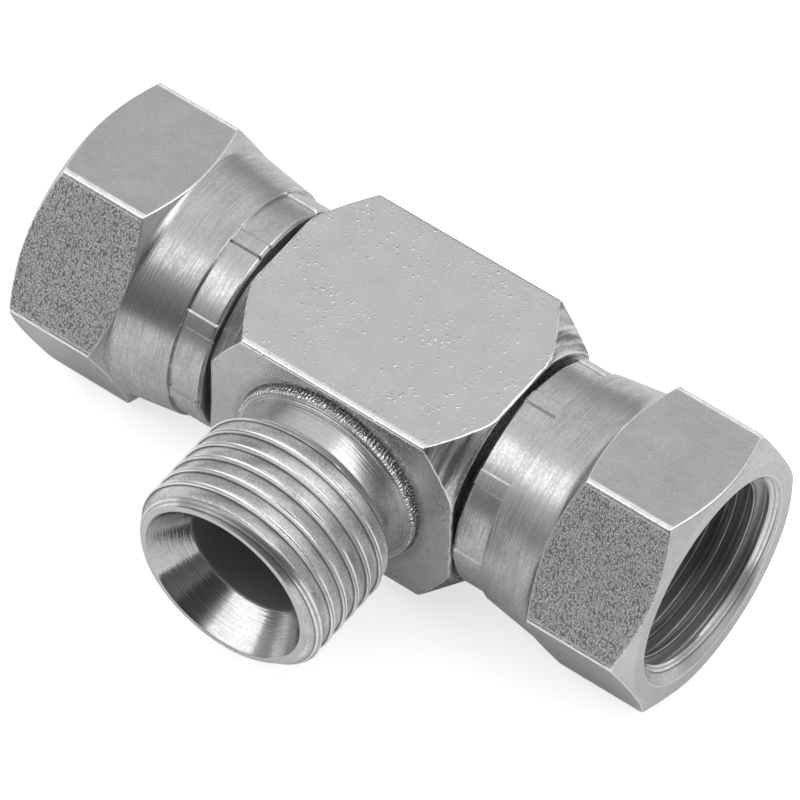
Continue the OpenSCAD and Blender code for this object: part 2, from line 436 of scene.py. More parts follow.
@dataclass
class SwivelNut:
    """One crimped hexagon nut: hexagon, flared skirt, collar with die marks, and thread.

    Places are distances from the middle of the run. first_rib, lean, mark_slope, column_step and
    mark_columns are angles in degrees, corner_columns are shares of the angle of a corner's
    rounding, and corner_rub gives how far a corner is worn at degrees away from it. The shares in
    painted_light_grain_of_flat say how coarse each flat's grain is, a painted light and shade set
    by
    the way each flat faces: even on the top flat, coarse on the upper front one. crest_lag is how
    far the first crest at angle zero lies past the thread's root.
    """

    hand: Hand
    first_rib: float
    thread: PipeThread = PipeThread()
    fit: SwivelFit = SwivelFit()
    hex_af: float = 25.5
    corner_round: float = 0.3
    lean: float = 5.6
    length: float = 20.9
    collar_len: float = 3.4
    collar_chamfer: float = 0.3
    crimp_step: float = 0.15
    skirt_wall: float = 2.05
    skirt_top: float = 23.665
    skirt_top_r: float = 12.72
    skirt_inset: float = 0.05
    face_inset: float = 0.25
    countersink: float = 0.42
    sink_depth: float = 0.25
    relief_clearance: float = 0.17
    relief_len: float = 1.0
    thread_len: float = 8.4
    crest_lag: float = 0.4
    crest_flat: float = 0.95
    # Painted light and shade: each flat's grain in turn, even on the top flat and coarse on the
    # upper front one.
    painted_light_grain_of_flat: tuple[float, ...] = (0.2, 1.0, 0.3, 0.8, 0.3, 0.8)
    die_count: int = 8
    die_share: float = 0.83
    die_depth: float = 0.2
    die_reach: float = 0.1
    die_wear: float = 0.9
    mark_slope: float = 1.0
    column_step: float = 1.9
    corner_columns: tuple[float, ...] = (-3.4, -1.9, -1, -0.5, 0, 0.5, 1, 1.9, 3.4)
    corner_rub: tuple[tuple[float, float], ...] = ((0, 1), (1.0, 1), (1.9, 0))
    mark_columns: tuple[float, ...] = (-1.5, -0.5, -0.2, 0.2, 0.5, 1.5)

    def __post_init__(self) -> None:
        """Works out the places and radii that follow from the sizes."""
        fit, major_r, minor_r = self.fit, self.thread.major_r, self.thread.minor_r
        self.collar_top = fit.collar_end + self.collar_len
        self.reach = fit.collar_end + self.length
        self.lip_r = fit.head_r - fit.lip_overlap
        self.bore_r = fit.head_r + fit.swivel_clearance
        self.skirt_root_r = self.bore_r + self.skirt_wall
        self.collar_r = self.skirt_root_r - self.crimp_step
        self.face_edge_r = self.hex_af / 2 - self.face_inset
        self.mouth_r = major_r + self.countersink
        self.relief_r = major_r + self.relief_clearance
        self.thread_mouth = self.reach - (self.mouth_r - minor_r)
        self.thread_root = self.thread_mouth - self.thread_len
        self.relief_outer = self.thread_root - (self.relief_r - minor_r) / 2
        self.relief_inner = self.relief_outer - self.relief_len
        self.bore_top = self.relief_inner - (self.relief_r - self.bore_r)

    @property
    def body(self) -> str:
        """Name of the moving body that the nut rides on."""
        return f"{self.hand.name.lower()}_nut"

    @property
    def node(self) -> str:
        """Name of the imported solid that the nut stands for."""
        return f"{self.hand.name.lower()}_swivel_nut"

    def from_flat(self, angles: Array) -> Array:
        """Angle from the middle of the nearest flat, from -30 to 30 degrees, in radians."""
        return (angles - math.radians(90 - self.lean) + SIXTH / 2) % SIXTH - SIXTH / 2

    def tangent(self) -> float:
        """Angle from a flat's middle to where the rounding of its corner starts."""
        apothem = self.hex_af / 2
        return math.atan((apothem - self.corner_round) * math.tan(SIXTH / 2) / apothem)

    def columns(self) -> Array:
        """Angles of the columns, close together at the hexagon's corners and the marks' edges."""
        close = np.array(self.corner_columns) * (SIXTH / 2 - self.tangent())
        corners = math.radians(120 - self.lean) + SIXTH * np.arange(6)
        pitch = TURN / self.die_count
        marks = math.radians(self.first_rib) + pitch * (np.arange(self.die_count) + 0.5)
        half = pitch * self.die_share / 2
        edges = np.concatenate([marks - half, marks + half])
        must = merged([corners[:, None] + close, edges[:, None] + np.radians(self.mark_columns)],
                      nearest=0.002)
        gap = np.diff(np.append(must, must[0] + TURN))
        count = np.maximum(np.ceil(gap / math.radians(self.column_step)).astype(int), 1)
        share = np.concatenate([np.arange(n) / n for n in count])
        return np.repeat(must, count) + share * np.repeat(gap, count)

    def hexagon(self, angles: Array) -> Array:
        """Radius of the rounded hexagon: the apothem over the cosine from the flat's middle, and
        at a corner the far crossing of the ray with the corner's arc."""
        apothem = self.hex_af / 2
        away = self.from_flat(angles)
        centre = (apothem - self.corner_round) / math.cos(SIXTH / 2)
        off = SIXTH / 2 - np.abs(away)
        inside = np.maximum(self.corner_round**2 - (centre * np.sin(off)) ** 2, 0)
        arc = centre * np.cos(off) + np.sqrt(inside)
        return np.where(np.abs(away) > self.tangent(), arc, apothem / np.cos(away))

    def corner_wear(self, angles: Array) -> Array:
        """Wear of the hexagon's corners: full on the arc and gone a degree beyond it."""
        off = np.degrees(SIXTH / 2 - np.abs(self.from_flat(angles)))
        return np.interp(off, *zip(*self.corner_rub))

    def painted_light_face_grain(self, angles: Array) -> Array:
        """How coarse each flat's grain is, a painted light and shade set by the way the flat faces:
        the flats in turn, changing over at the corners.
        """
        flat = np.floor((angles - math.radians(60 - self.lean)) / SIXTH).astype(int) % 6
        return np.array(self.painted_light_grain_of_flat)[flat]

    def mark_depth(self, angles: Array) -> Array:
        """Depth of the die marks, from 0 on a rib to 1 in a mark, with a short slope between."""
        pitch = TURN / self.die_count
        away = (angles - math.radians(self.first_rib) + pitch / 2) % pitch - pitch / 2
        edge = pitch * (1 - self.die_share) / 2
        return np.clip((np.abs(away) - edge) / math.radians(self.mark_slope) + 0.5, 0, 1)

    def place(self, x: Array, r: Array, angles: Array) -> Array:
        """Coordinates of a point at x along the nut's side of the run axis."""
        return np.stack([self.hand.value * x, r * np.cos(angles), r * np.sin(angles)], axis=-1)

    def section(self, angles: Array) -> Section:
        """The section from the mouth's countersink, round the outside, to the relief groove."""
        h = self.hexagon(angles)
        mark = self.mark_depth(angles)
        collar_end, chamfer = self.fit.collar_end, self.collar_chamfer
        flare = (self.skirt_top - self.collar_top) / (self.skirt_top_r - self.skirt_root_r)
        skirt_end_r = np.minimum(self.skirt_top_r, h - self.skirt_inset)
        skirt_end = self.collar_top + (skirt_end_r - self.skirt_root_r) * flare
        flat_start = np.where(
            h < self.skirt_top_r, self.collar_top + (h - self.skirt_root_r) * flare,
            self.skirt_top + (h - self.skirt_top_r) * SLOPE)
        flat_end = self.reach - (h - self.face_edge_r) * SLOPE
        collar = self.collar_r - mark * self.die_depth
        step = self.collar_top + mark * self.die_reach
        step_r = self.skirt_root_r + (step - self.collar_top) / flare
        return Section.trace([
            Corner(self.reach - self.sink_depth, self.mouth_r - self.sink_depth, Wall.COUNTERSINK),
            Corner(self.reach, self.mouth_r, Wall.CHAMFER, rounding=0.1, wear=0.6, rows=2),
            Corner(self.reach, self.face_edge_r, Wall.CHAMFER, rounding=0.1, wear=0.3, rows=2,
                   guard=0.2),
            Corner(flat_end, h, Wall.HEX_FLAT, rounding=0.14, wear=0.6, rows=6, guard=0.35),
            Corner(flat_start, h, Wall.CHAMFER, rounding=0.12, wear=0.7, rows=1),
            Corner(skirt_end, skirt_end_r, Wall.SKIRT, rounding=0.7, rows=6),
            Corner(step, step_r, Wall.COLLAR, rounding=0.06, wear=0.5),
            Corner(step, collar, Wall.COLLAR, rows=3, guard=0.2),
            Corner(collar_end + chamfer, collar, Wall.COLLAR, rounding=0.1, wear=0.4),
            Corner(collar_end, collar - chamfer, Wall.LIP, rounding=0.08, wear=0.2, rows=1),
            Corner(collar_end, self.lip_r + chamfer, Wall.LIP, rounding=0.08),
            Corner(collar_end + chamfer, self.lip_r, Wall.LIP, rounding=0.08, rows=1),
            Corner(self.fit.lip_top, self.lip_r, Wall.LIP),
            Corner(self.fit.lip_top + self.bore_r - self.lip_r, self.bore_r, Wall.LIP, rows=2),
            Corner(self.bore_top, self.bore_r, Wall.LIP),
            Corner(self.relief_inner, self.relief_r, Wall.NUT_THREAD, rounding=0.1, rows=1),
            Corner(self.relief_outer, self.relief_r, Wall.NUT_THREAD),
        ])

    def thread_radius(self, x: Array, height: Array) -> tuple[Array, Array]:
        """Radius and wall of the female thread, whose crests are plain flats, opened out by the
        countersink and the groove."""
        form = self.thread.major_r - self.thread.depth * np.minimum(height, self.crest_flat)
        groove = self.thread.minor_r + (self.thread_root - x) * 2
        sink = self.thread.minor_r + x - self.thread_mouth
        wall = np.where(sink > form, Wall.COUNTERSINK.value, Wall.NUT_THREAD.value)
        return np.maximum(form, np.maximum(groove, sink)), wall

    def build(self, finishes: dict[Wall, bpy.types.Material]) -> bpy.types.Object:
        """Builds the nut as one closed surface round its axis and hangs it on its moving body.

        Args:
            finishes: The material of each wall.

        Returns:
            The nut.
        """
        angles = self.columns()
        section = self.section(angles)
        x, r = section.points[:, 0], section.points[:, 1]
        flat_rows = np.flatnonzero(section.walls == Wall.HEX_FLAT.value)
        on_hexagon = np.zeros((len(x), 1), bool)
        on_hexagon[flat_rows[0]:flat_rows[-1] + 2] = True
        near = 0.01
        on_collar = (x < self.collar_top + near) & (r > self.collar_r - self.die_depth - near)
        mark = self.mark_depth(angles)
        side = self.die_wear * ((mark > near) & (mark < 1 - near))
        worn = np.maximum(section.wear[:, None], np.maximum(
            on_hexagon * self.corner_wear(angles), on_collar * side))
        surface = Surface()
        number = surface.add_points(self.place(x, r, angles + 0 * x), worn, self.painted_light_face_grain(angles))
        surface.add_grid(number, section.walls)
        self.thread.wind(
            surface, number[-1], number[0], angles,
            (self.relief_outer, self.reach - self.sink_depth), self.thread_root + self.crest_lag,
            self.hand.value, self.thread_radius, self.place)
        piece = surface.build(f"{self.hand.name.capitalize()}Nut", finishes)
        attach(piece, self.body)
        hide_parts(self.node)
        return piece


@dataclass
class TeeBody:
    """The forged body: block, two spigots for the nuts, and the male branch.

    Places are distances from where the two axes cross. top_rub and side_rub give how bright a
    long edge is at depths and heights from where its arc starts, partly worn and partly a painted
    highlight, and back_wear_and_highlight is the share of it on the two edges at the back. The
    bright line runs on for edge_rows past each end of the flats.
    end_step is the least step from the block's flats in to its turned ends, and end_round the
    rounding there. edge_gap is an angle in radians, samples the number of places at which an
    angle is looked up, and the other steps and rows count quads or give shares of a length.
    """

    thread: PipeThread = PipeThread()
    fit: SwivelFit = SwivelFit()
    half_depth: float = 10.75
    half_height: float = 11.25
    edge_r: float = 0.4
    top_rub: tuple[tuple[float, float], ...] = ((-0.15, 0), (-0.05, 0.5), (0.03, 1))
    side_rub: tuple[tuple[float, float], ...] = ((0.02, 0), (0.16, 1))
    back_wear_and_highlight: float = 0.2
    edge_rows: int = 4
    end_r: float = 11.9
    end_step: float = 0.18
    end_round: float = 0.16
    lead_in: float = 2.0
    head_land: float = 1.6
    nose_wall: float = 1.0
    run_bore_r: float = 6.5
    bore_step: float = 0.1
    neck_len: float = 3.75
    neck_depth: float = 1.33
    threaded_len: float = 12.6
    crest_at: float = 24.282
    mouth_chamfer: float = 1.28
    mouth_land: float = 0.5
    rim_inset: float = 0.1
    bead_out: float = 0.85
    bead_rise: float = 0.55
    bead_width: float = 0.45
    crest_round: float = 0.4
    root_fillet_r: float = 0.25
    apron: float = 0.5
    fillet_drop: float = 0.15
    neck_start: float = 0.9
    side_steps: int = 60
    flank_steps: int = 14
    arc_steps: int = 4
    back_columns: int = 22
    edge_gap: float = 0.022
    samples: int = 2001
    bore_rows: int = 26
    end_row: float = 0.97
    window: float = 9.0
    window_rows: int = 6
    plate_rows: tuple[float, ...] = (0.08, 0.3, 0.55, 0.8)

    def __post_init__(self) -> None:
        """Works out the places and radii that follow from the sizes."""
        fit = self.fit
        self.stem_r = fit.head_r - fit.shoulder_height
        self.cone_start = fit.head_back + self.head_land
        self.nose_r = self.run_bore_r + self.nose_wall
        self.nose_reach = self.cone_start + (fit.head_r - self.nose_r) / SLOPE
        self.branch_bore_r = self.run_bore_r - self.bore_step
        self.neck_r = self.thread.major_r - self.neck_depth
        self.neck_reach = self.half_depth + self.neck_len
        self.branch_reach = self.neck_reach + self.threaded_len
        self.mouth_rim_r = self.thread.major_r - self.mouth_chamfer
        self.seat_mouth_r = self.mouth_rim_r - self.mouth_land
        self.bead_r = self.neck_r + self.bead_out

    def outline(self, angles: Array) -> Array:
        """Radius of the block's rounded rectangle, where angle 0 is -Y and a quarter turn is +Z:
        a half side over a cosine on the flats, and the far crossing of the ray with a corner's
        arc between them."""
        c, s = np.abs(np.cos(angles)), np.abs(np.sin(angles))
        a, b, q = self.half_depth, self.half_height, self.edge_r
        along = (a - q) * c + (b - q) * s
        across = (a - q) * s - (b - q) * c
        arc = along + np.sqrt(np.maximum(q**2 - across**2, 0))
        front, top = a / np.maximum(c, TINY), b / np.maximum(s, TINY)
        return np.where(s * a < (b - q) * c, front, np.where(s * (a - q) > b * c, top, arc))

    def edge_wear_and_highlight(self, angles: Array) -> Array:
        """Brightness of the block's four long edges, partly worn and partly a painted highlight on
        the two
        front ones: full from the last of the top or bottom to the middle of the arc, gone at its
        other end, and slight on the two edges at the back."""
        radius = self.outline(angles)
        deep = radius * np.abs(np.cos(angles)) - (self.half_depth - self.edge_r)
        high = radius * np.abs(np.sin(angles)) - (self.half_height - self.edge_r)
        worn = np.interp(deep, *zip(*self.top_rub)) * np.interp(high, *zip(*self.side_rub))
        # Painted highlight: the front edges keep the full bright line and the two back edges only a
        # share of it.
        return worn * np.where(np.cos(angles) > 0, 1, self.back_wear_and_highlight)

    def flat_half(self, radius: Array) -> Array:
        """Half length of the block's flats at that radius, before the turned cone."""
        step = np.maximum(radius - self.end_r, self.end_step)
        return self.fit.block_reach - step - self.end_round

    def columns(self) -> tuple[Array, float]:
        """Angles of the columns round the run axis, from the lower edge of the front flat.

        Across the front flat they are even as seen round the branch axis.

        Returns:
            The angles in order, and half the angle of the flat's side round the branch.
        """
        edge = math.atan((self.half_height - self.edge_r) / self.half_depth)
        far = math.atan(self.half_height / (self.half_depth - self.edge_r))
        fine = np.linspace(-edge, edge, self.samples)
        seen = np.arctan2(self.half_depth * np.tan(fine), self.flat_half(self.outline(fine)))
        front = np.interp(np.linspace(seen[0], seen[-1], self.side_steps + 1), seen, fine)
        arc = np.linspace(edge, far, self.arc_steps + 1)[1:]
        flank = np.linspace(far + self.edge_gap, math.pi / 2, self.flank_steps - self.arc_steps)
        quarter = np.concatenate([arc, flank])
        half = np.concatenate([quarter, math.pi - quarter[-2::-1], [math.pi - edge]])
        inner = math.pi - edge + self.edge_gap
        middle = np.linspace(inner, TURN - inner, self.back_columns)
        return np.concatenate([front, half, middle, TURN - half[::-1]]), float(seen[-1])

    def flat_rows(self, half: float) -> Array:
        """Rows along the flats, as shares of their half length, even round the branch axis."""
        count = self.bore_rows + 2 * self.flank_steps - 2
        seen = np.linspace(math.pi - half, half, count + 1)
        share = np.tan(math.pi / 2 - seen) / math.tan(math.pi / 2 - half)
        return np.sort(np.append(share, [-self.end_row, self.end_row]))

    def place(self, x: Array, r: Array, angles: Array) -> Array:
        """Coordinates of a point round the run axis, where angle 0 is -Y."""
        return np.stack([x + 0 * angles, -r * np.cos(angles), r * np.sin(angles)], axis=-1)

    def branch_place(self, u: Array, r: Array, angles: Array) -> Array:
        """Coordinates of a point at u along the branch, where angle 0 is +X, then +Z."""
        return np.stack([r * np.cos(angles), -u + 0 * angles, r * np.sin(angles)], axis=-1)

    def spigot_section(self, angles: Array) -> Section:
        """The section of the right half, from the end of the flats to the bore's window."""
        fit, radius = self.fit, self.outline(angles)
        cone_start = self.flat_half(radius) + self.end_round
        face_r = np.minimum(self.end_r, radius - self.end_step)
        return Section.trace([
            Corner(cone_start - self.lead_in, radius, Wall.FORGED),
            Corner(cone_start, radius, Wall.BLOCK_END, self.end_round, wear=0.6, rows=1,
                   guard=0.25),
            Corner(fit.block_reach, face_r, Wall.BLOCK_END, rounding=0.12, wear=0.5, rows=1),
            Corner(fit.block_reach, self.stem_r, Wall.STEM, rounding=0.2, rows=1),
            Corner(fit.head_back - fit.shoulder_height, self.stem_r, Wall.STEM, rounding=0.1),
            Corner(fit.head_back, fit.head_r, Wall.STEM, rounding=0.2, wear=0.3),
            Corner(self.cone_start, fit.head_r, Wall.STEM, rounding=0.3, wear=0.3, rows=2),
            Corner(self.nose_reach, self.nose_r, Wall.STEM, rounding=0.12, wear=0.3, rows=1),
            Corner(self.nose_reach, self.run_bore_r, Wall.BORE, rounding=0.1, wear=0.2, rows=3),
            Corner(self.window, self.run_bore_r, Wall.BORE),
        ]).starting_at(1)

    def add_run(self, surface: Surface) -> tuple[Array, Array]:
        """Adds the surface round the run axis, without its two windows for the branch.

        The rows go along the flats to the right, over the right spigot, back through the bore and
        over the left spigot.

        Args:
            surface: The surface to add to.

        Returns:
            Point numbers round the front flat and round the bore's window, each anticlockwise as
            seen from the branch's mouth, starting at the flat's lower right corner.
        """
        angles, half = self.columns()
        radius = self.outline(angles)
        section = self.spigot_section(angles)
        share = self.flat_rows(half)[1:-1]
        flat_x = share[:, None] * self.flat_half(radius)
        flat = np.stack([flat_x, radius + 0 * flat_x], axis=1)
        bore_x = np.linspace(self.window, -self.window, self.bore_rows + 1)[1:-1]
        bore = np.stack(np.broadcast_arrays(bore_x[:, None], self.run_bore_r + 0 * angles), 1)
        left = section.points[::-1] * np.array([-1, 1])[:, None]
        rows = np.concatenate([flat, section.points, bore, left])
        wear = np.concatenate([0 * share, section.wear, 0 * bore_x, section.wear[::-1]])
        walls = np.concatenate([
            np.full(len(share), Wall.FORGED.value), section.walls,
            np.full(self.bore_rows, Wall.BORE.value), section.walls[::-1], [Wall.FORGED.value]])
        on_flats = np.zeros((len(rows), 1), bool)
        on_flats[:len(share) + self.edge_rows] = on_flats[-self.edge_rows:] = True
        worn = np.maximum(wear[:, None], on_flats * self.edge_wear_and_highlight(angles))
        number = surface.add_points(
            self.place(rows[:, 0], rows[:, 1], angles + 0 * rows[:, 0]), worn)

        steps, flank, flats = self.side_steps, self.flank_steps, len(share)
        low = flats + len(section.points) - 1
        high = low + self.bore_rows
        inner = np.arange(-flank, steps + flank + 1) % len(angles)
        keep = np.ones(number.shape, bool)
        keep[:flats, :steps] = False
        keep[-1, :steps] = False
        keep[np.ix_(np.arange(low, high), inner[:-1])] = False
        surface.add_grid(np.concatenate([number, number[:1]]), walls, keep=keep)
        front_loop = np.concatenate([
            number[flats, :steps + 1], number[:flats, steps][::-1],
            number[-1, :steps + 1][::-1], number[:flats, 0]])
        bore_loop = np.concatenate([
            number[low, inner], number[low + 1:high, inner[-1]],
            number[high, inner[::-1]], number[low + 1:high, inner[0]][::-1]])
        return front_loop, np.roll(bore_loop, -flank)

    def mouth_section(self, angles: Array) -> Section:
        """The section from the mouth's chamfer, down the cone seat and the bore, to the saddle
        where the branch's bore meets the run's: u = sqrt(run_r^2 - (branch_r sin angle)^2)."""
        seat_end = self.branch_reach - (self.seat_mouth_r - self.branch_bore_r) / SLOPE
        saddle = np.sqrt(self.run_bore_r**2 - (self.branch_bore_r * np.sin(angles)) ** 2)
        return Section.trace([
            Corner(self.branch_reach - self.rim_inset, self.mouth_rim_r + self.rim_inset,
                   Wall.MOUTH),
            Corner(self.branch_reach, self.mouth_rim_r, Wall.MOUTH, rounding=0.12, wear=0.15),
            Corner(self.branch_reach, self.seat_mouth_r, Wall.SEAT, rounding=0.08, wear=0.35,
                   rows=6, guard=0.2),
            Corner(seat_end, self.branch_bore_r, Wall.BRANCH_BORE, rounding=0.15, rows=6),
            Corner(saddle, self.branch_bore_r, Wall.BRANCH_BORE),
        ])

    def root_section(self) -> Section:
        """The section from the front flat, up the bead's wall, over its crest and down the inner
        fillet to the neck. Below zero its marks paint shade round the bead's foot."""
        front, top = self.half_depth, self.half_depth + self.bead_rise + self.crest_round
        return Section.trace([
            # Painted shade: a dark ring round the bead's foot, darkest in the fillet and fading out
            # on the front flat.
            Corner(front, self.bead_r + self.apron, Wall.FRONT, wear=-0.4),
            Corner(front, self.bead_r, Wall.BEAD, self.root_fillet_r, wear=-1.0),
            Corner(top, self.bead_r, Wall.BEAD, self.crest_round, wear=0.5),
            Corner(top, self.bead_r - self.bead_width, Wall.ROOT, rounding=0.2, wear=0.5),
            Corner(top - self.fillet_drop, self.neck_r, Wall.ROOT, rounding=0.35, rows=2),
            Corner(top + self.neck_start, self.neck_r, Wall.NECK, rows=4, guard=0.2),
            Corner(self.neck_reach, self.neck_r, Wall.NECK),
        ], steps=7)

    def thread_radius(self, u: Array, height: Array) -> tuple[Array, Array]:
        """Radius and wall of the male thread, cut off by the chamfers at its two ends. What the
        mouth's chamfer leaves is a wall of its own."""
        form = self.thread.minor_r + self.thread.depth * height
        root = self.neck_r + u - self.neck_reach
        mouth = self.mouth_rim_r + self.branch_reach - u
        wall = np.where(mouth < form, Wall.CHASE.value, Wall.THREAD.value)
        return np.minimum(form, np.minimum(root, mouth)), wall

    def build(self, finishes: dict[Wall, bpy.types.Material]) -> bpy.types.Object:
        """Builds the forging as one closed surface and hangs it on its moving body.

        The front flat is filled between its outline and the root's circle by straight lines, and
        the bore's window by straight lines on the unrolled bore.

        Args:
            finishes: The material of each wall.

        Returns:
            The forging.
        """
        surface = Surface()
        front_loop, bore_loop = self.add_run(surface)
        edge = surface.at(front_loop)
        angles = np.unwrap(np.arctan2(edge[:, 2], edge[:, 0]))

        root = self.root_section()
        ring = root.points[:, :, None] + 0 * angles
        root_number = surface.add_points(
            self.branch_place(ring[:, 0], ring[:, 1], angles + 0 * ring[:, 0]),
            root.wear[:, None] + 0 * angles)
        surface.add_grid(root_number, root.walls)
        share = np.array(self.plate_rows)[:, None, None]
        plate = surface.add_points(edge + (surface.at(root_number[0]) - edge) * share)
        surface.add_grid(np.concatenate([front_loop[None], plate, root_number[:1]]), Wall.FRONT)

        mouth = self.mouth_section(angles)
        u, r = mouth.points[:, 0], mouth.points[:, 1]
        mouth_number = surface.add_points(
            self.branch_place(u, r, angles + 0 * u), mouth.wear[:, None] + 0 * u)
        surface.add_grid(mouth_number, mouth.walls)
        self.thread.wind(
            surface, root_number[-1], mouth_number[0], angles,
            (self.neck_reach, self.branch_reach - self.rim_inset), self.crest_at, 1,
            self.thread_radius, self.branch_place)

        outer = surface.at(bore_loop)
        from_x, from_angle = outer[:, 0], np.arctan2(outer[:, 2], -outer[:, 1])
        to_x = self.branch_bore_r * np.cos(angles)
        to_angle = np.arcsin(self.branch_bore_r * np.sin(angles) / self.run_bore_r)
        share = np.linspace(0, 1, self.window_rows + 2)[1:-1, None]
        bent = self.place(from_x + (to_x - from_x) * share, self.run_bore_r,
                          from_angle + (to_angle - from_angle) * share)
        window = surface.add_points(bent)
        surface.add_grid(np.concatenate([bore_loop[None], window, mouth_number[-1:]]), Wall.BORE)

        piece = surface.build("TeeBody", finishes)
        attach(piece, "body")
        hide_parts("tee_body")
        return piece


class Graph:
    """Short calls for filling a node tree."""

    def __init__(self, tree: bpy.types.NodeTree) -> None:
        """Starts with an empty tree."""
        self.tree = tree
        tree.nodes.clear()

    def add(self, kind: str, settings: dict[str, Any] | None = None,
            **values: Any) -> bpy.types.Node:
        """Adds a node.

        Args:
            kind: Type of the node, without a ShaderNode prefix.
            settings: Properties of the node.
            values: Inputs by name, with _ for a space, or by number after an i. Each is a value
                or the output that feeds it.

        Returns:
            The node.
        """
        node = self.tree.nodes.new(kind if kind.startswith("Node") else f"ShaderNode{kind}")
        for key, value in (settings or {}).items():
            setattr(node, key, value)
        for key, value in values.items():
            slot = int(key[1:]) if key[0] == "i" and key[1:].isdigit() else key.replace("_", " ")
            if isinstance(value, bpy.types.NodeSocket):
                self.tree.links.new(value, node.inputs[slot])
            else:
                node.inputs[slot].default_value = value
        return node

    def math(self, operation: str, *values: Any, clamp: bool = False) -> bpy.types.NodeSocket:
        """Adds a Math node on the values and returns its output."""
        inputs = {f"i{k}": v for k, v in enumerate(values)}
        return self.add("Math", {"operation": operation, "use_clamp": clamp}, **inputs).outputs[0]

    def ramp(self, value: Any, low: float, high: float, to_low: float = 0.0,
             to_high: float = 1.0) -> bpy.types.NodeSocket:
        """Maps low..high to to_low..to_high with smooth ends and returns the output."""
        node = self.add("MapRange", {"interpolation_type": "SMOOTHSTEP"}, Value=value)
        for slot, number in zip(("From Min", "From Max", "To Min", "To Max"),
                                (low, high, to_low, to_high)):
            node.inputs[slot].default_value = number
        return node.outputs[0]


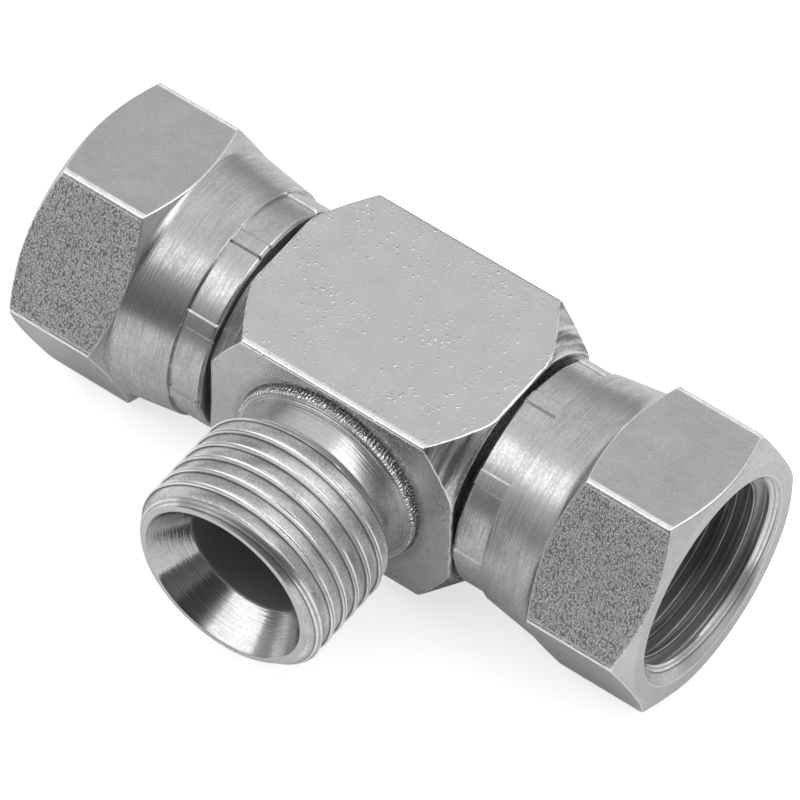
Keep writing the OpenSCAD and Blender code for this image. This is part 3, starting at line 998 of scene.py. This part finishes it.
class Effects:
    """The shader groups that several finishes share. Lengths are in millimetres."""

    def __init__(self) -> None:
        """Builds each group once."""
        self.grain = self.build_grain()
        self.turning = self.build_turning()
        self.pits = self.build_pits()
        self.wear = self.build_wear()

    @staticmethod
    def start(name: str, inputs: dict[str, float | None],
              outputs: Sequence[str]) -> tuple[Graph, bpy.types.NodeOutputs]:
        """Starts a group.

        Args:
            name: Name of the group.
            inputs: Names of the inputs with their defaults, where None is a vector.
            outputs: Names of the outputs, all single values.

        Returns:
            The graph and the sockets of its input node.
        """
        tree = bpy.data.node_groups.new(name, "ShaderNodeTree")
        for key, value in inputs.items():
            kind = "NodeSocketVector" if value is None else "NodeSocketFloat"
            made = tree.interface.new_socket(name=key, in_out="INPUT", socket_type=kind)
            if value is not None:
                made.default_value = value
        for key in outputs:
            tree.interface.new_socket(name=key, in_out="OUTPUT", socket_type="NodeSocketFloat")
        graph = Graph(tree)
        return graph, graph.add("NodeGroupInput").outputs

    def build_grain(self) -> bpy.types.NodeTree:
        """Fine grain of a blasted or rolled face: dots at the cells of a cell noise, some higher
        than others, with painted glints, light specks where a grain would catch the light, and slow
        clouds."""
        g, inp = self.start("grain", {"Vector": None, "Size": 0.3}, ["Height", "Fleck", "Cloud"])
        vector = inp["Vector"]
        scale = g.math("DIVIDE", 1.0, inp["Size"])
        double = g.math("MULTIPLY", scale, 2.0)
        fine = g.add("TexNoise", Vector=vector, Scale=double, Detail=2.0, Roughness=0.6)
        cells = g.add("TexVoronoi", Vector=vector, Scale=scale)
        dots = g.math("MULTIPLY", g.ramp(cells.outputs["Distance"], 0.05, 0.8, 1.0, 0.0),
                      g.ramp(fine.outputs["Fac"], 0.3, 0.6, 0.5, 1.0))
        shifted = g.add("Mapping", Vector=vector, Location=(13.1, 7.7, 3.3)).outputs[0]
        other = g.add("TexNoise", Vector=shifted, Scale=double, Detail=1.0)
        cloud = g.add("TexNoise", Vector=vector, Scale=0.35, Detail=3.0, Roughness=0.6)
        g.add("NodeGroupOutput", Height=dots, Fleck=g.ramp(other.outputs["Fac"], 0.58, 0.7),
              Cloud=cloud.outputs["Fac"])
        return g.tree

    def build_turning(self) -> bpy.types.NodeTree:
        """Fine lines that a turning tool leaves round the X axis, and wider bands of them.

        Noise is read at (x + 0.7 r) over the spacing, and only slowly round the axis, so each
        line runs round the axis and fades after a share of a turn.
        """
        g, inp = self.start(
            "turning", {"Vector": None, "Spacing": 0.15, "Swirl": 2.0}, ["Lines", "Bands"])
        x, y, z = g.add("SeparateXYZ", Vector=inp["Vector"]).outputs
        square = g.math("MULTIPLY_ADD", y, y, g.math("MULTIPLY", z, z))
        r = g.math("MAXIMUM", g.math("SQRT", square), 0.001)
        along = g.math("DIVIDE", g.math("MULTIPLY_ADD", r, 0.7, x), inp["Spacing"])
        swirl = g.math("DIVIDE", inp["Swirl"], r)
        round_y, round_z = g.math("MULTIPLY", y, swirl), g.math("MULTIPLY", z, swirl)
        noises: list[bpy.types.NodeSocket] = []
        for factor in (1.0, 0.22):
            place = g.add("CombineXYZ", X=g.math("MULTIPLY", along, factor), Y=round_y, Z=round_z)
            noises.append(g.add("TexNoise", Vector=place.outputs[0], Scale=1.0, Detail=2.0,
                                Roughness=0.6).outputs["Fac"])
        g.add("NodeGroupOutput", Lines=noises[0], Bands=noises[1])
        return g.tree

    def build_pits(self) -> bpy.types.NodeTree:
        """Small uneven pits and blisters scattered over a face in clusters, at a share of the
        cells of a cell noise. The output runs from -1 in a pit to 1 on a blister, and most of
        them are blisters."""
        g, inp = self.start(
            "pits", {"Vector": None, "Spacing": 1.2, "Share": 0.3, "Radius": 0.5}, ["Relief"])
        vector = inp["Vector"]
        bent = g.add("TexNoise", Vector=vector, Scale=3.0, Detail=2.0)
        moved = g.add("VectorMath", {"operation": "MULTIPLY_ADD"}, i0=bent.outputs["Color"],
                      i1=(0.5, 0.5, 0.5), i2=vector)
        cells = g.add("TexVoronoi", Vector=moved.outputs[0],
                      Scale=g.math("DIVIDE", 1.0, inp["Spacing"]))
        cluster = g.add("TexNoise", Vector=vector, Scale=0.25, Detail=1.0)
        picked = g.add("SeparateColor", Color=cells.outputs["Color"]).outputs
        chosen = g.math("LESS_THAN", picked[0], g.math(
            "MULTIPLY", inp["Share"], g.ramp(cluster.outputs["Fac"], 0.35, 0.6, 0.25, 1.0)))
        share = g.math("MULTIPLY_ADD", picked[1], 0.75, 0.25)
        size = g.math("MULTIPLY", inp["Radius"], share)
        inside = g.ramp(g.math("DIVIDE", cells.outputs["Distance"], size), 0.0, 1.0, 1.0, 0.0)
        raised = g.math("MULTIPLY_ADD", g.math("GREATER_THAN", picked[2], 0.12), 2.0, -1.0)
        relief = g.math("MULTIPLY", g.math("MULTIPLY", raised, share),
                        g.math("MULTIPLY", chosen, inside))
        g.add("NodeGroupOutput", Relief=relief)
        return g.tree

    def build_wear(self) -> bpy.types.NodeTree:
        """Worn edges and painted highlights, from the mesh's own measure of them, broken up by
        noise.
        """
        g, inp = self.start("edge_wear_and_highlight", {"Vector": None, "Wear": 0.0, "Break": 0.5}, ["Mask"])
        noise = g.add("TexNoise", Vector=inp["Vector"], Scale=1.6, Detail=3.0)
        gaps = g.ramp(noise.outputs["Fac"], 0.35, 0.6, 1.0, 0.0)
        kept = g.math("SUBTRACT", 1.0, g.math("MULTIPLY", gaps, inp["Break"]))
        mask = g.math("MULTIPLY", g.ramp(inp["Wear"], 0.15, 0.8), kept, clamp=True)
        g.add("NodeGroupOutput", Mask=mask)
        return g.tree


class Axis(Enum):
    """The axis that a wall was turned round, as the turn that lays it along X."""

    RUN = (0.0, 0.0, 0.0)
    BRANCH = (0.0, 0.0, math.pi / 2)


class Pattern:
    """What the patterns of one finish add up to: a mask for its grey, and its relief.

    vector is the place in millimetres, with the axis of the wall along X. worn is 1 where the
    wall is worn bright, and where a painted highlight lies on the thread crests, the block's front
    edges and the blisters.
    """

    def __init__(self, graph: Graph, effects: Effects, axis: Axis, broken: float) -> None:
        """Starts with an even mask, no relief and worn edges.

        Args:
            graph: Graph of the material.
            effects: The shared shader groups.
            axis: The axis that the wall was turned round.
            broken: How much noise breaks up the worn edges, from 0 to 1.
        """
        self.graph = graph
        self.effects = effects
        seen = graph.add("TexCoord").outputs["Object"]
        self.vector = graph.add("Mapping", Vector=seen, Rotation=axis.value,
                                Scale=(1 / MM,) * 3).outputs[0]
        self.mask: Any = 0.5
        self.heights: list[tuple[bpy.types.NodeSocket, float]] = []
        self.wear = self.measure("wear")
        self.worn = self.effect(effects.wear, Wear=self.wear, Break=broken)["Mask"]

    def measure(self, name: str) -> bpy.types.NodeSocket:
        """Returns a measure that the mesh carries at its points."""
        return self.graph.add("Attribute", {"attribute_name": name}).outputs["Fac"]

    def effect(self, tree: bpy.types.NodeTree, **values: Any) -> bpy.types.NodeOutputs:
        """Places a shared group with its values and returns its outputs."""
        return self.graph.add("Group", {"node_tree": tree}, Vector=self.vector, **values).outputs

    def mix(self, value: bpy.types.NodeSocket, share: float) -> None:
        """Adds a pattern to the mask, as its distance from the middle times its share."""
        g = self.graph
        if share:
            self.mask = g.math(
                "ADD", self.mask, g.math("MULTIPLY", g.math("SUBTRACT", value, 0.5), share))

    def raise_by(self, value: bpy.types.NodeSocket, height: float) -> None:
        """Adds a pattern to the relief, where height is how far a value of 1 stands out."""
        if height:
            self.heights.append((value, height))

    def normal(self) -> dict[str, bpy.types.NodeSocket]:
        """Chains a Bump node for each height and returns what goes into a shader's Normal."""
        chained: dict[str, bpy.types.NodeSocket] = {}
        for value, height in self.heights:
            chained = {"Normal": self.graph.add(
                "Bump", Height=value, Strength=1.0, Distance=height * MM, **chained).outputs[0]}
        return chained


@dataclass(frozen=True)
class Grain:
    """Fine grain: size of a grain, height, and how much of the mask grain, painted glints and
    clouds take.

    Grain fades where the wall is worn, and by_face sets how coarse it is from the mesh, which on
    the hexagon flats paints light and shade flat by flat.
    """

    size: float = 0.3
    height: float = 0.0
    share: float = 0.4
    painted_glints: float = 0.0
    clouds: float = 0.9
    by_face: bool = False

    def lay(self, pattern: Pattern) -> None:
        """Adds the grain to a pattern."""
        g = pattern.graph
        grain = pattern.effect(pattern.effects.grain, Size=self.size)
        coarse = g.math("SUBTRACT", 1.0, pattern.worn)
        if self.by_face:
            coarse = g.math("MULTIPLY", coarse, pattern.measure("grain"))
        grit = g.math("MULTIPLY_ADD", g.math("SUBTRACT", grain["Height"], 0.5), coarse, 0.5)
        pattern.mix(grit, self.share)
        pattern.mix(grain["Cloud"], self.clouds)
        # Painted glints: light specks added to the colour where a grain would catch the light.
        if self.painted_glints:
            pattern.mask = g.math("MULTIPLY_ADD", grain["Fleck"], self.painted_glints, pattern.mask)
        pattern.raise_by(grit, self.height)


@dataclass(frozen=True)
class Lines:
    """Turned lines: spacing, height, how much of the mask lines and bands take, and how fast they
    change round the axis."""

    spacing: float
    height: float
    share: float
    bands: float = 0.0
    swirl: float = 2.0

    def lay(self, pattern: Pattern) -> None:
        """Adds the lines to a pattern."""
        turned = pattern.effect(
            pattern.effects.turning, Spacing=self.spacing, Swirl=self.swirl)
        pattern.mix(turned["Lines"], self.share)
        pattern.mix(turned["Bands"], self.bands)
        pattern.raise_by(turned["Lines"], self.height)


@dataclass(frozen=True)
class Pits:
    """Pits and blisters: spacing, share of the places that have one, height, and how bright the
    blisters are made, partly worn and partly a painted glint."""

    spacing: float
    share: float
    height: float
    rub_and_glint: float = 0.0

    def lay(self, pattern: Pattern) -> None:
        """Adds the pits to a pattern and brightens the blisters, partly worn and partly a painted
        glint.
        """
        g = pattern.graph
        relief = pattern.effect(
            pattern.effects.pits, Spacing=self.spacing, Share=self.share)["Relief"]
        pattern.raise_by(relief, self.height)
        # Painted glint: the blisters are brightened in the colour, partly worn and partly standing
        # for the light they catch.
        blister_wear_and_glint = g.math("MULTIPLY", relief, self.rub_and_glint, clamp=True)
        pattern.worn = g.math("MAXIMUM", pattern.worn, blister_wear_and_glint)


@dataclass(frozen=True)
class Ticks:
    """Ridges that run outwards round the axis: the sine of the angle times their count, where
    noise puts them out of step by up to the drift, in radians."""

    count: float
    height: float
    share: float
    drift: float = 13.0

    def lay(self, pattern: Pattern) -> None:
        """Adds the ridges to a pattern."""
        g = pattern.graph
        parts = g.add("SeparateXYZ", Vector=pattern.vector).outputs
        angle = g.math("ARCTAN2", parts[2], parts[1])
        noise = g.add("TexNoise", Vector=pattern.vector, Scale=1.1, Detail=2.0).outputs["Fac"]
        phase = g.math("MULTIPLY_ADD", angle, self.count, g.math("MULTIPLY", noise, self.drift))
        ridges = g.math("MULTIPLY_ADD", g.math("SINE", phase), 0.5, 0.5)
        pattern.mix(ridges, self.share)
        pattern.raise_by(ridges, self.height)


@dataclass(frozen=True)
class SteelFinish:
    """Zinc-plated steel as one tool left it. Lengths are in millimetres.

    dark and light are the greys that the mask runs between. The steel is rougher by rougher where
    the mask is dark, smoother by as much where it is light, and smoother by worn_polish where it
    is worn. worn_and_highlight_grey is the grey of worn edges and of the painted highlights laid
    with them, and worn_break how much noise breaks them up. Below zero the mesh's measure paints
    shade, darkening the steel towards painted_shade_grey by up to painted_shade_cover. blue is the
    blue of the plating as a share of its grey.
    """

    name: str
    dark: float
    light: float
    roughness: float
    axis: Axis = Axis.RUN
    grain: Grain = Grain()
    lines: Lines | None = None
    pits: Pits | None = None
    ticks: Ticks | None = None
    worn_and_highlight_grey: float = 0.9
    worn_break: float = 0.5
    # Painted shade at the thread crests and round the bead's foot: the grey it darkens towards, and
    # how far.
    painted_shade_grey: ClassVar[float] = 0.1
    painted_shade_cover: ClassVar[float] = 0.75
    blue: ClassVar[float] = 1.01
    rougher: ClassVar[float] = 0.06
    worn_polish: ClassVar[float] = 0.12

    def colour(self, pattern: Pattern) -> bpy.types.NodeSocket:
        """The grey that the mask gives, under the painted shade and then the worn edges and painted
        highlights.
        """
        g = pattern.graph
        mix = {"data_type": "RGBA"}
        steel = g.add("Mix", {**mix, "clamp_factor": True}, i0=pattern.mask,
                      i6=(self.dark, self.dark, self.dark * self.blue, 1),
                      i7=(self.light, self.light, self.light * self.blue, 1))
        # Painted shade where the mesh's measure is below zero.
        painted_shade = g.math("MULTIPLY", pattern.wear, -self.painted_shade_cover, clamp=True)
        shaded_steel = g.add("Mix", mix, i0=painted_shade, i6=steel.outputs[2], i7=(*[self.painted_shade_grey] * 3, 1))
        return g.add("Mix", mix, i0=pattern.worn, i6=shaded_steel.outputs[2],
                     i7=(*[self.worn_and_highlight_grey] * 3, 1)).outputs[2]

    def material(self, effects: Effects) -> bpy.types.Material:
        """Builds the material.

        Args:
            effects: The shared shader groups.

        Returns:
            A material on object coordinates, with colour, roughness and bump from its patterns.
        """
        made = bpy.data.materials.new(self.name)
        made.use_nodes = True
        g = Graph(made.node_tree)
        pattern = Pattern(g, effects, self.axis, self.worn_break)
        for part in (self.grain, self.lines, self.pits, self.ticks):
            if part is not None:
                part.lay(pattern)
        rough = g.ramp(pattern.mask, 0.0, 1.0, self.roughness + self.rougher,
                       self.roughness - self.rougher)
        rough = g.math("SUBTRACT", rough, g.math("MULTIPLY", pattern.worn, self.worn_polish))
        shader = g.add("BsdfPrincipled", Base_Color=self.colour(pattern), Metallic=1.0,
                       Roughness=rough, **pattern.normal())
        g.add("OutputMaterial", Surface=shader.outputs[0])
        return made


def finishes(effects: Effects) -> dict[Wall, bpy.types.Material]:
    """The finish of each wall of the part."""
    branch = Axis.BRANCH
    chosen = {
        Wall.FORGED: SteelFinish(
            "forged_flat", 0.54, 0.66, 0.28, grain=Grain(0.25, 0.01),
            pits=Pits(0.42, 0.95, 0.065, rub_and_glint=0.5), worn_and_highlight_grey=0.97, worn_break=0.3),
        Wall.FRONT: SteelFinish(
            "forged_front", 0.53, 0.71, 0.22, grain=Grain(0.22, 0.018, clouds=1.35),
            pits=Pits(0.45, 0.8, 0.05)),
        Wall.BLOCK_END: SteelFinish(
            "turned_block_end", 0.18, 0.66, 0.30, grain=Grain(clouds=0.3),
            lines=Lines(0.16, 0.05, 4.0, bands=0.6, swirl=1.6)),
        Wall.STEM: SteelFinish("turned_spigot", 0.55, 0.70, 0.4, lines=Lines(0.2, 0.01, 1.2)),
        Wall.NECK: SteelFinish(
            "turned_neck", 0.52, 0.66, 0.26, branch, Grain(clouds=0.45),
            Lines(0.24, 0.016, 1.2, swirl=1.0)),
        Wall.ROOT: SteelFinish(
            "turned_root", 0.46, 0.66, 0.26, branch, lines=Lines(0.26, 0.04, 1.6, swirl=1.0)),
        Wall.BEAD: SteelFinish(
            "serrated_bead", 0.34, 1.0, 0.24, branch, Grain(0.4, 0.03, painted_glints=0.35),
            ticks=Ticks(165.0, 0.18, 1.3), worn_and_highlight_grey=1.0, worn_break=0.4),
        Wall.THREAD: SteelFinish(
            "cut_thread", 0.50, 0.98, 0.38, branch, Grain(0.2, 0.02, 0.5, clouds=0.75),
            Lines(0.22, 0.04, 2.8, swirl=1.0), worn_and_highlight_grey=1.0, worn_break=0.25),
        Wall.CHASE: SteelFinish(
            "turned_chase", 0.46, 0.74, 0.26, branch, lines=Lines(0.2, 0.03, 2.0, swirl=1.5)),
        Wall.MOUTH: SteelFinish(
            "turned_mouth", 0.54, 0.72, 0.34, branch, lines=Lines(0.2, 0.01, 0.8)),
        Wall.SEAT: SteelFinish(
            "turned_seat", 0.46, 0.64, 0.13, branch, lines=Lines(0.18, 0.022, 1.2, swirl=1.6)),
        Wall.BORE: SteelFinish("drilled_bore", 0.44, 0.54, 0.55, lines=Lines(0.4, 0.01, 0.8)),
        Wall.BRANCH_BORE: SteelFinish(
            "drilled_branch_bore", 0.44, 0.54, 0.55, branch, lines=Lines(0.4, 0.01, 0.8)),
        Wall.HEX_FLAT: SteelFinish(
            "blasted_hexagon", 0.27, 0.72, 0.30, worn_and_highlight_grey=1.0, worn_break=0.3,
            grain=Grain(0.19, 0.07, 0.9, painted_glints=0.25, clouds=0.36, by_face=True)),
        Wall.CHAMFER: SteelFinish(
            "turned_chamfer", 0.54, 0.70, 0.36, lines=Lines(0.25, 0.008, 0.6)),
        Wall.SKIRT: SteelFinish(
            "brushed_skirt", 0.42, 0.64, 0.26, lines=Lines(0.16, 0.025, 1.6, 0.8, swirl=3.0)),
        Wall.COLLAR: SteelFinish(
            "crimped_collar", 0.42, 0.68, 0.27, lines=Lines(0.2, 0.015, 1.2, swirl=4.0)),
        Wall.LIP: SteelFinish("turned_lip", 0.60, 0.75, 0.45, lines=Lines(0.2, 0.008, 0.8)),
        Wall.NUT_THREAD: SteelFinish(
            "tapped_thread", 0.42, 0.62, 0.44, lines=Lines(0.2, 0.015, 1.2), worn_and_highlight_grey=0.6,
            worn_break=0.9),
        Wall.COUNTERSINK: SteelFinish(
            "countersink", 0.55, 0.75, 0.28, lines=Lines(0.2, 0.01, 0.8)),
    }
    return {wall: finish.material(effects) for wall, finish in chosen.items()}


@dataclass(frozen=True)
class Lamp:
    """A soft box: its middle, the way of its long side, its sides, and how bright it looks, where
    1 is white."""

    name: str
    place: tuple[float, float, float]
    along: tuple[float, float, float]
    sides: tuple[float, float]
    brightness: float

    def build(self) -> None:
        """Hangs the lamp so that it faces the part. Its power is pi * brightness * area."""
        data = bpy.data.lights.new(self.name, "AREA")
        data.shape = "RECTANGLE"
        data.size, data.size_y = self.sides[0] * MM, self.sides[1] * MM
        data.energy = math.pi * self.brightness * data.size * data.size_y
        back = Vector(self.place).normalized()
        side = Vector(self.along)
        side = (side - back * side.dot(back)).normalized()
        lamp = bpy.data.objects.new(self.name, data)
        lamp.matrix_world = Matrix.Translation(Vector(self.place) * MM) @ Matrix(
            (side, back.cross(side), back)).transposed().to_4x4()
        bpy.context.scene.collection.objects.link(lamp)


@dataclass
class Studio:
    """Floor, soft light and camera. Lengths are in millimetres.

    The steel sees a room whose brightness runs from room_low to room_high as the view rises from
    one height on the unit sphere to another. Towards dark_side and dark_front it dims to a share.
    """

    floor_z: float = -13.42
    floor_size: float = 6000.0
    floor_grey: float = 0.9
    floor_glow: float = 0.66
    mirror_glow: float = 0.06
    room_heights: tuple[float, float] = (0.1, 0.75)
    room_low: float = 0.4
    room_high: float = 0.86
    dark_side: tuple[float, float, float] = (0.448, -0.876, 0.179)
    side_edge: tuple[float, float] = (0.4, 0.85)
    side_share: float = 0.28
    dark_front: tuple[float, float, float] = (0.452, -0.522, 0.723)
    front_edge: tuple[float, float] = (0.92, 0.97)
    front_share: float = 0.25
    lamps: tuple[Lamp, ...] = (
        Lamp("KeyLamp", (-480, -430, 765), (-1.0, 0.23, -0.51), (1150, 420), 1.0),
        Lamp("SideLamp", (540, 230, 820), (0.0, 1.0, 0.0), (900, 800), 1.2),
    )
    eye: tuple[float, float, float] = (267.884, -388.149, 619.105)
    forward: tuple[float, float, float] = (-0.34383, 0.49841, -0.79584)
    roll: float = 1.93
    focal_px: float = 8477.5
    picture_px: float = 800.0
    sensor_width: float = 36.0
    clip: tuple[float, float] = (10.0, 20000.0)

    def build_camera(self) -> None:
        """Places the camera: the view direction and its roll about it, from the fitted view."""
        ahead = Vector(self.forward).normalized()
        right = ahead.cross(Vector((0, 0, 1))).normalized()
        up = right.cross(ahead)
        turn = math.radians(self.roll)
        right, up = (right * math.cos(turn) + up * math.sin(turn),
                     up * math.cos(turn) - right * math.sin(turn))
        data = bpy.data.cameras.new("Camera")
        data.sensor_width = self.sensor_width
        data.lens = self.focal_px / self.picture_px * self.sensor_width
        data.clip_start, data.clip_end = self.clip[0] * MM, self.clip[1] * MM
        camera = bpy.data.objects.new("Camera", data)
        camera.matrix_world = Matrix.Translation(Vector(self.eye) * MM) @ Matrix(
            (right, up, -ahead)).transposed().to_4x4()
        bpy.context.scene.collection.objects.link(camera)
        bpy.context.scene.camera = camera

    def build_floor(self) -> None:
        """Lays a plain pale floor that keeps the part's shadow and is clear from below."""
        half = self.floor_size / 2 * MM
        z = self.floor_z * MM
        mesh = bpy.data.meshes.new("Floor")
        mesh.from_pydata([(-half, -half, z), (half, -half, z), (half, half, z), (-half, half, z)],
                         [], [(0, 1, 2, 3)])
        floor = bpy.data.objects.new("Floor", mesh)
        bpy.context.scene.collection.objects.link(floor)
        made = bpy.data.materials.new("pale_floor")
        made.use_nodes = True
        g = Graph(made.node_tree)
        path = g.add("LightPath")
        plain = g.add("BsdfDiffuse", Color=(*[self.floor_grey] * 3, 1))
        glow = g.add("Emission", Color=(1, 1, 1, 1), Strength=g.math(
            "MULTIPLY_ADD", path.outputs["Is Camera Ray"], self.floor_glow,
            g.math("MULTIPLY", path.outputs["Is Glossy Ray"], self.mirror_glow)))
        both = g.add("AddShader", i0=plain.outputs[0], i1=glow.outputs[0])
        below = g.add("NewGeometry").outputs["Backfacing"]
        clear = g.add("BsdfTransparent")
        mixed = g.add("MixShader", Fac=below, i1=both.outputs[0], i2=clear.outputs[0])
        g.add("OutputMaterial", Surface=mixed.outputs[0])
        mesh.materials.append(made)

    def build_world(self) -> None:
        """Sets a white surround for the camera, and for the steel a soft room that is brighter
        above and dark on the side that the camera is on."""
        world = bpy.data.worlds.new("surround")
        bpy.context.scene.world = world
        world.use_nodes = True
        g = Graph(world.node_tree)
        towards = g.add("TexCoord").outputs["Generated"]
        height = g.add("SeparateXYZ", Vector=towards).outputs[2]
        room = g.ramp(height, *self.room_heights, self.room_low, self.room_high)
        for way, edge, share in ((self.dark_side, self.side_edge, self.side_share),
                                 (self.dark_front, self.front_edge, self.front_share)):
            near = g.add("VectorMath", {"operation": "DOT_PRODUCT"}, i0=towards, i1=way)
            room = g.math("MULTIPLY", room, g.ramp(near.outputs["Value"], *edge, 1.0, share))
        path = g.add("LightPath")
        strength = g.math("MAXIMUM", path.outputs["Is Camera Ray"], room)
        back = g.add("Background", Color=(1, 1, 1, 1), Strength=strength)
        g.add("OutputWorld", Surface=back.outputs[0])

    def build(self) -> None:
        """Builds the whole studio."""
        bpy.context.scene.view_settings.view_transform = "Standard"
        self.build_camera()
        self.build_floor()
        self.build_world()
        for lamp in self.lamps:
            lamp.build()


def main() -> None:
    """Builds the pieces in order, then the studio."""
    logging.basicConfig(level=logging.INFO, format="%(name)s: %(message)s")
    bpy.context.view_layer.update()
    walls = finishes(Effects())
    Studio().build()
    pieces = [
        TeeBody().build(walls),
        SwivelNut(Hand.LEFT, first_rib=6.5).build(walls),
        SwivelNut(Hand.RIGHT, first_rib=0.5).build(walls),
    ]


if __name__ == "__main__":
    main()
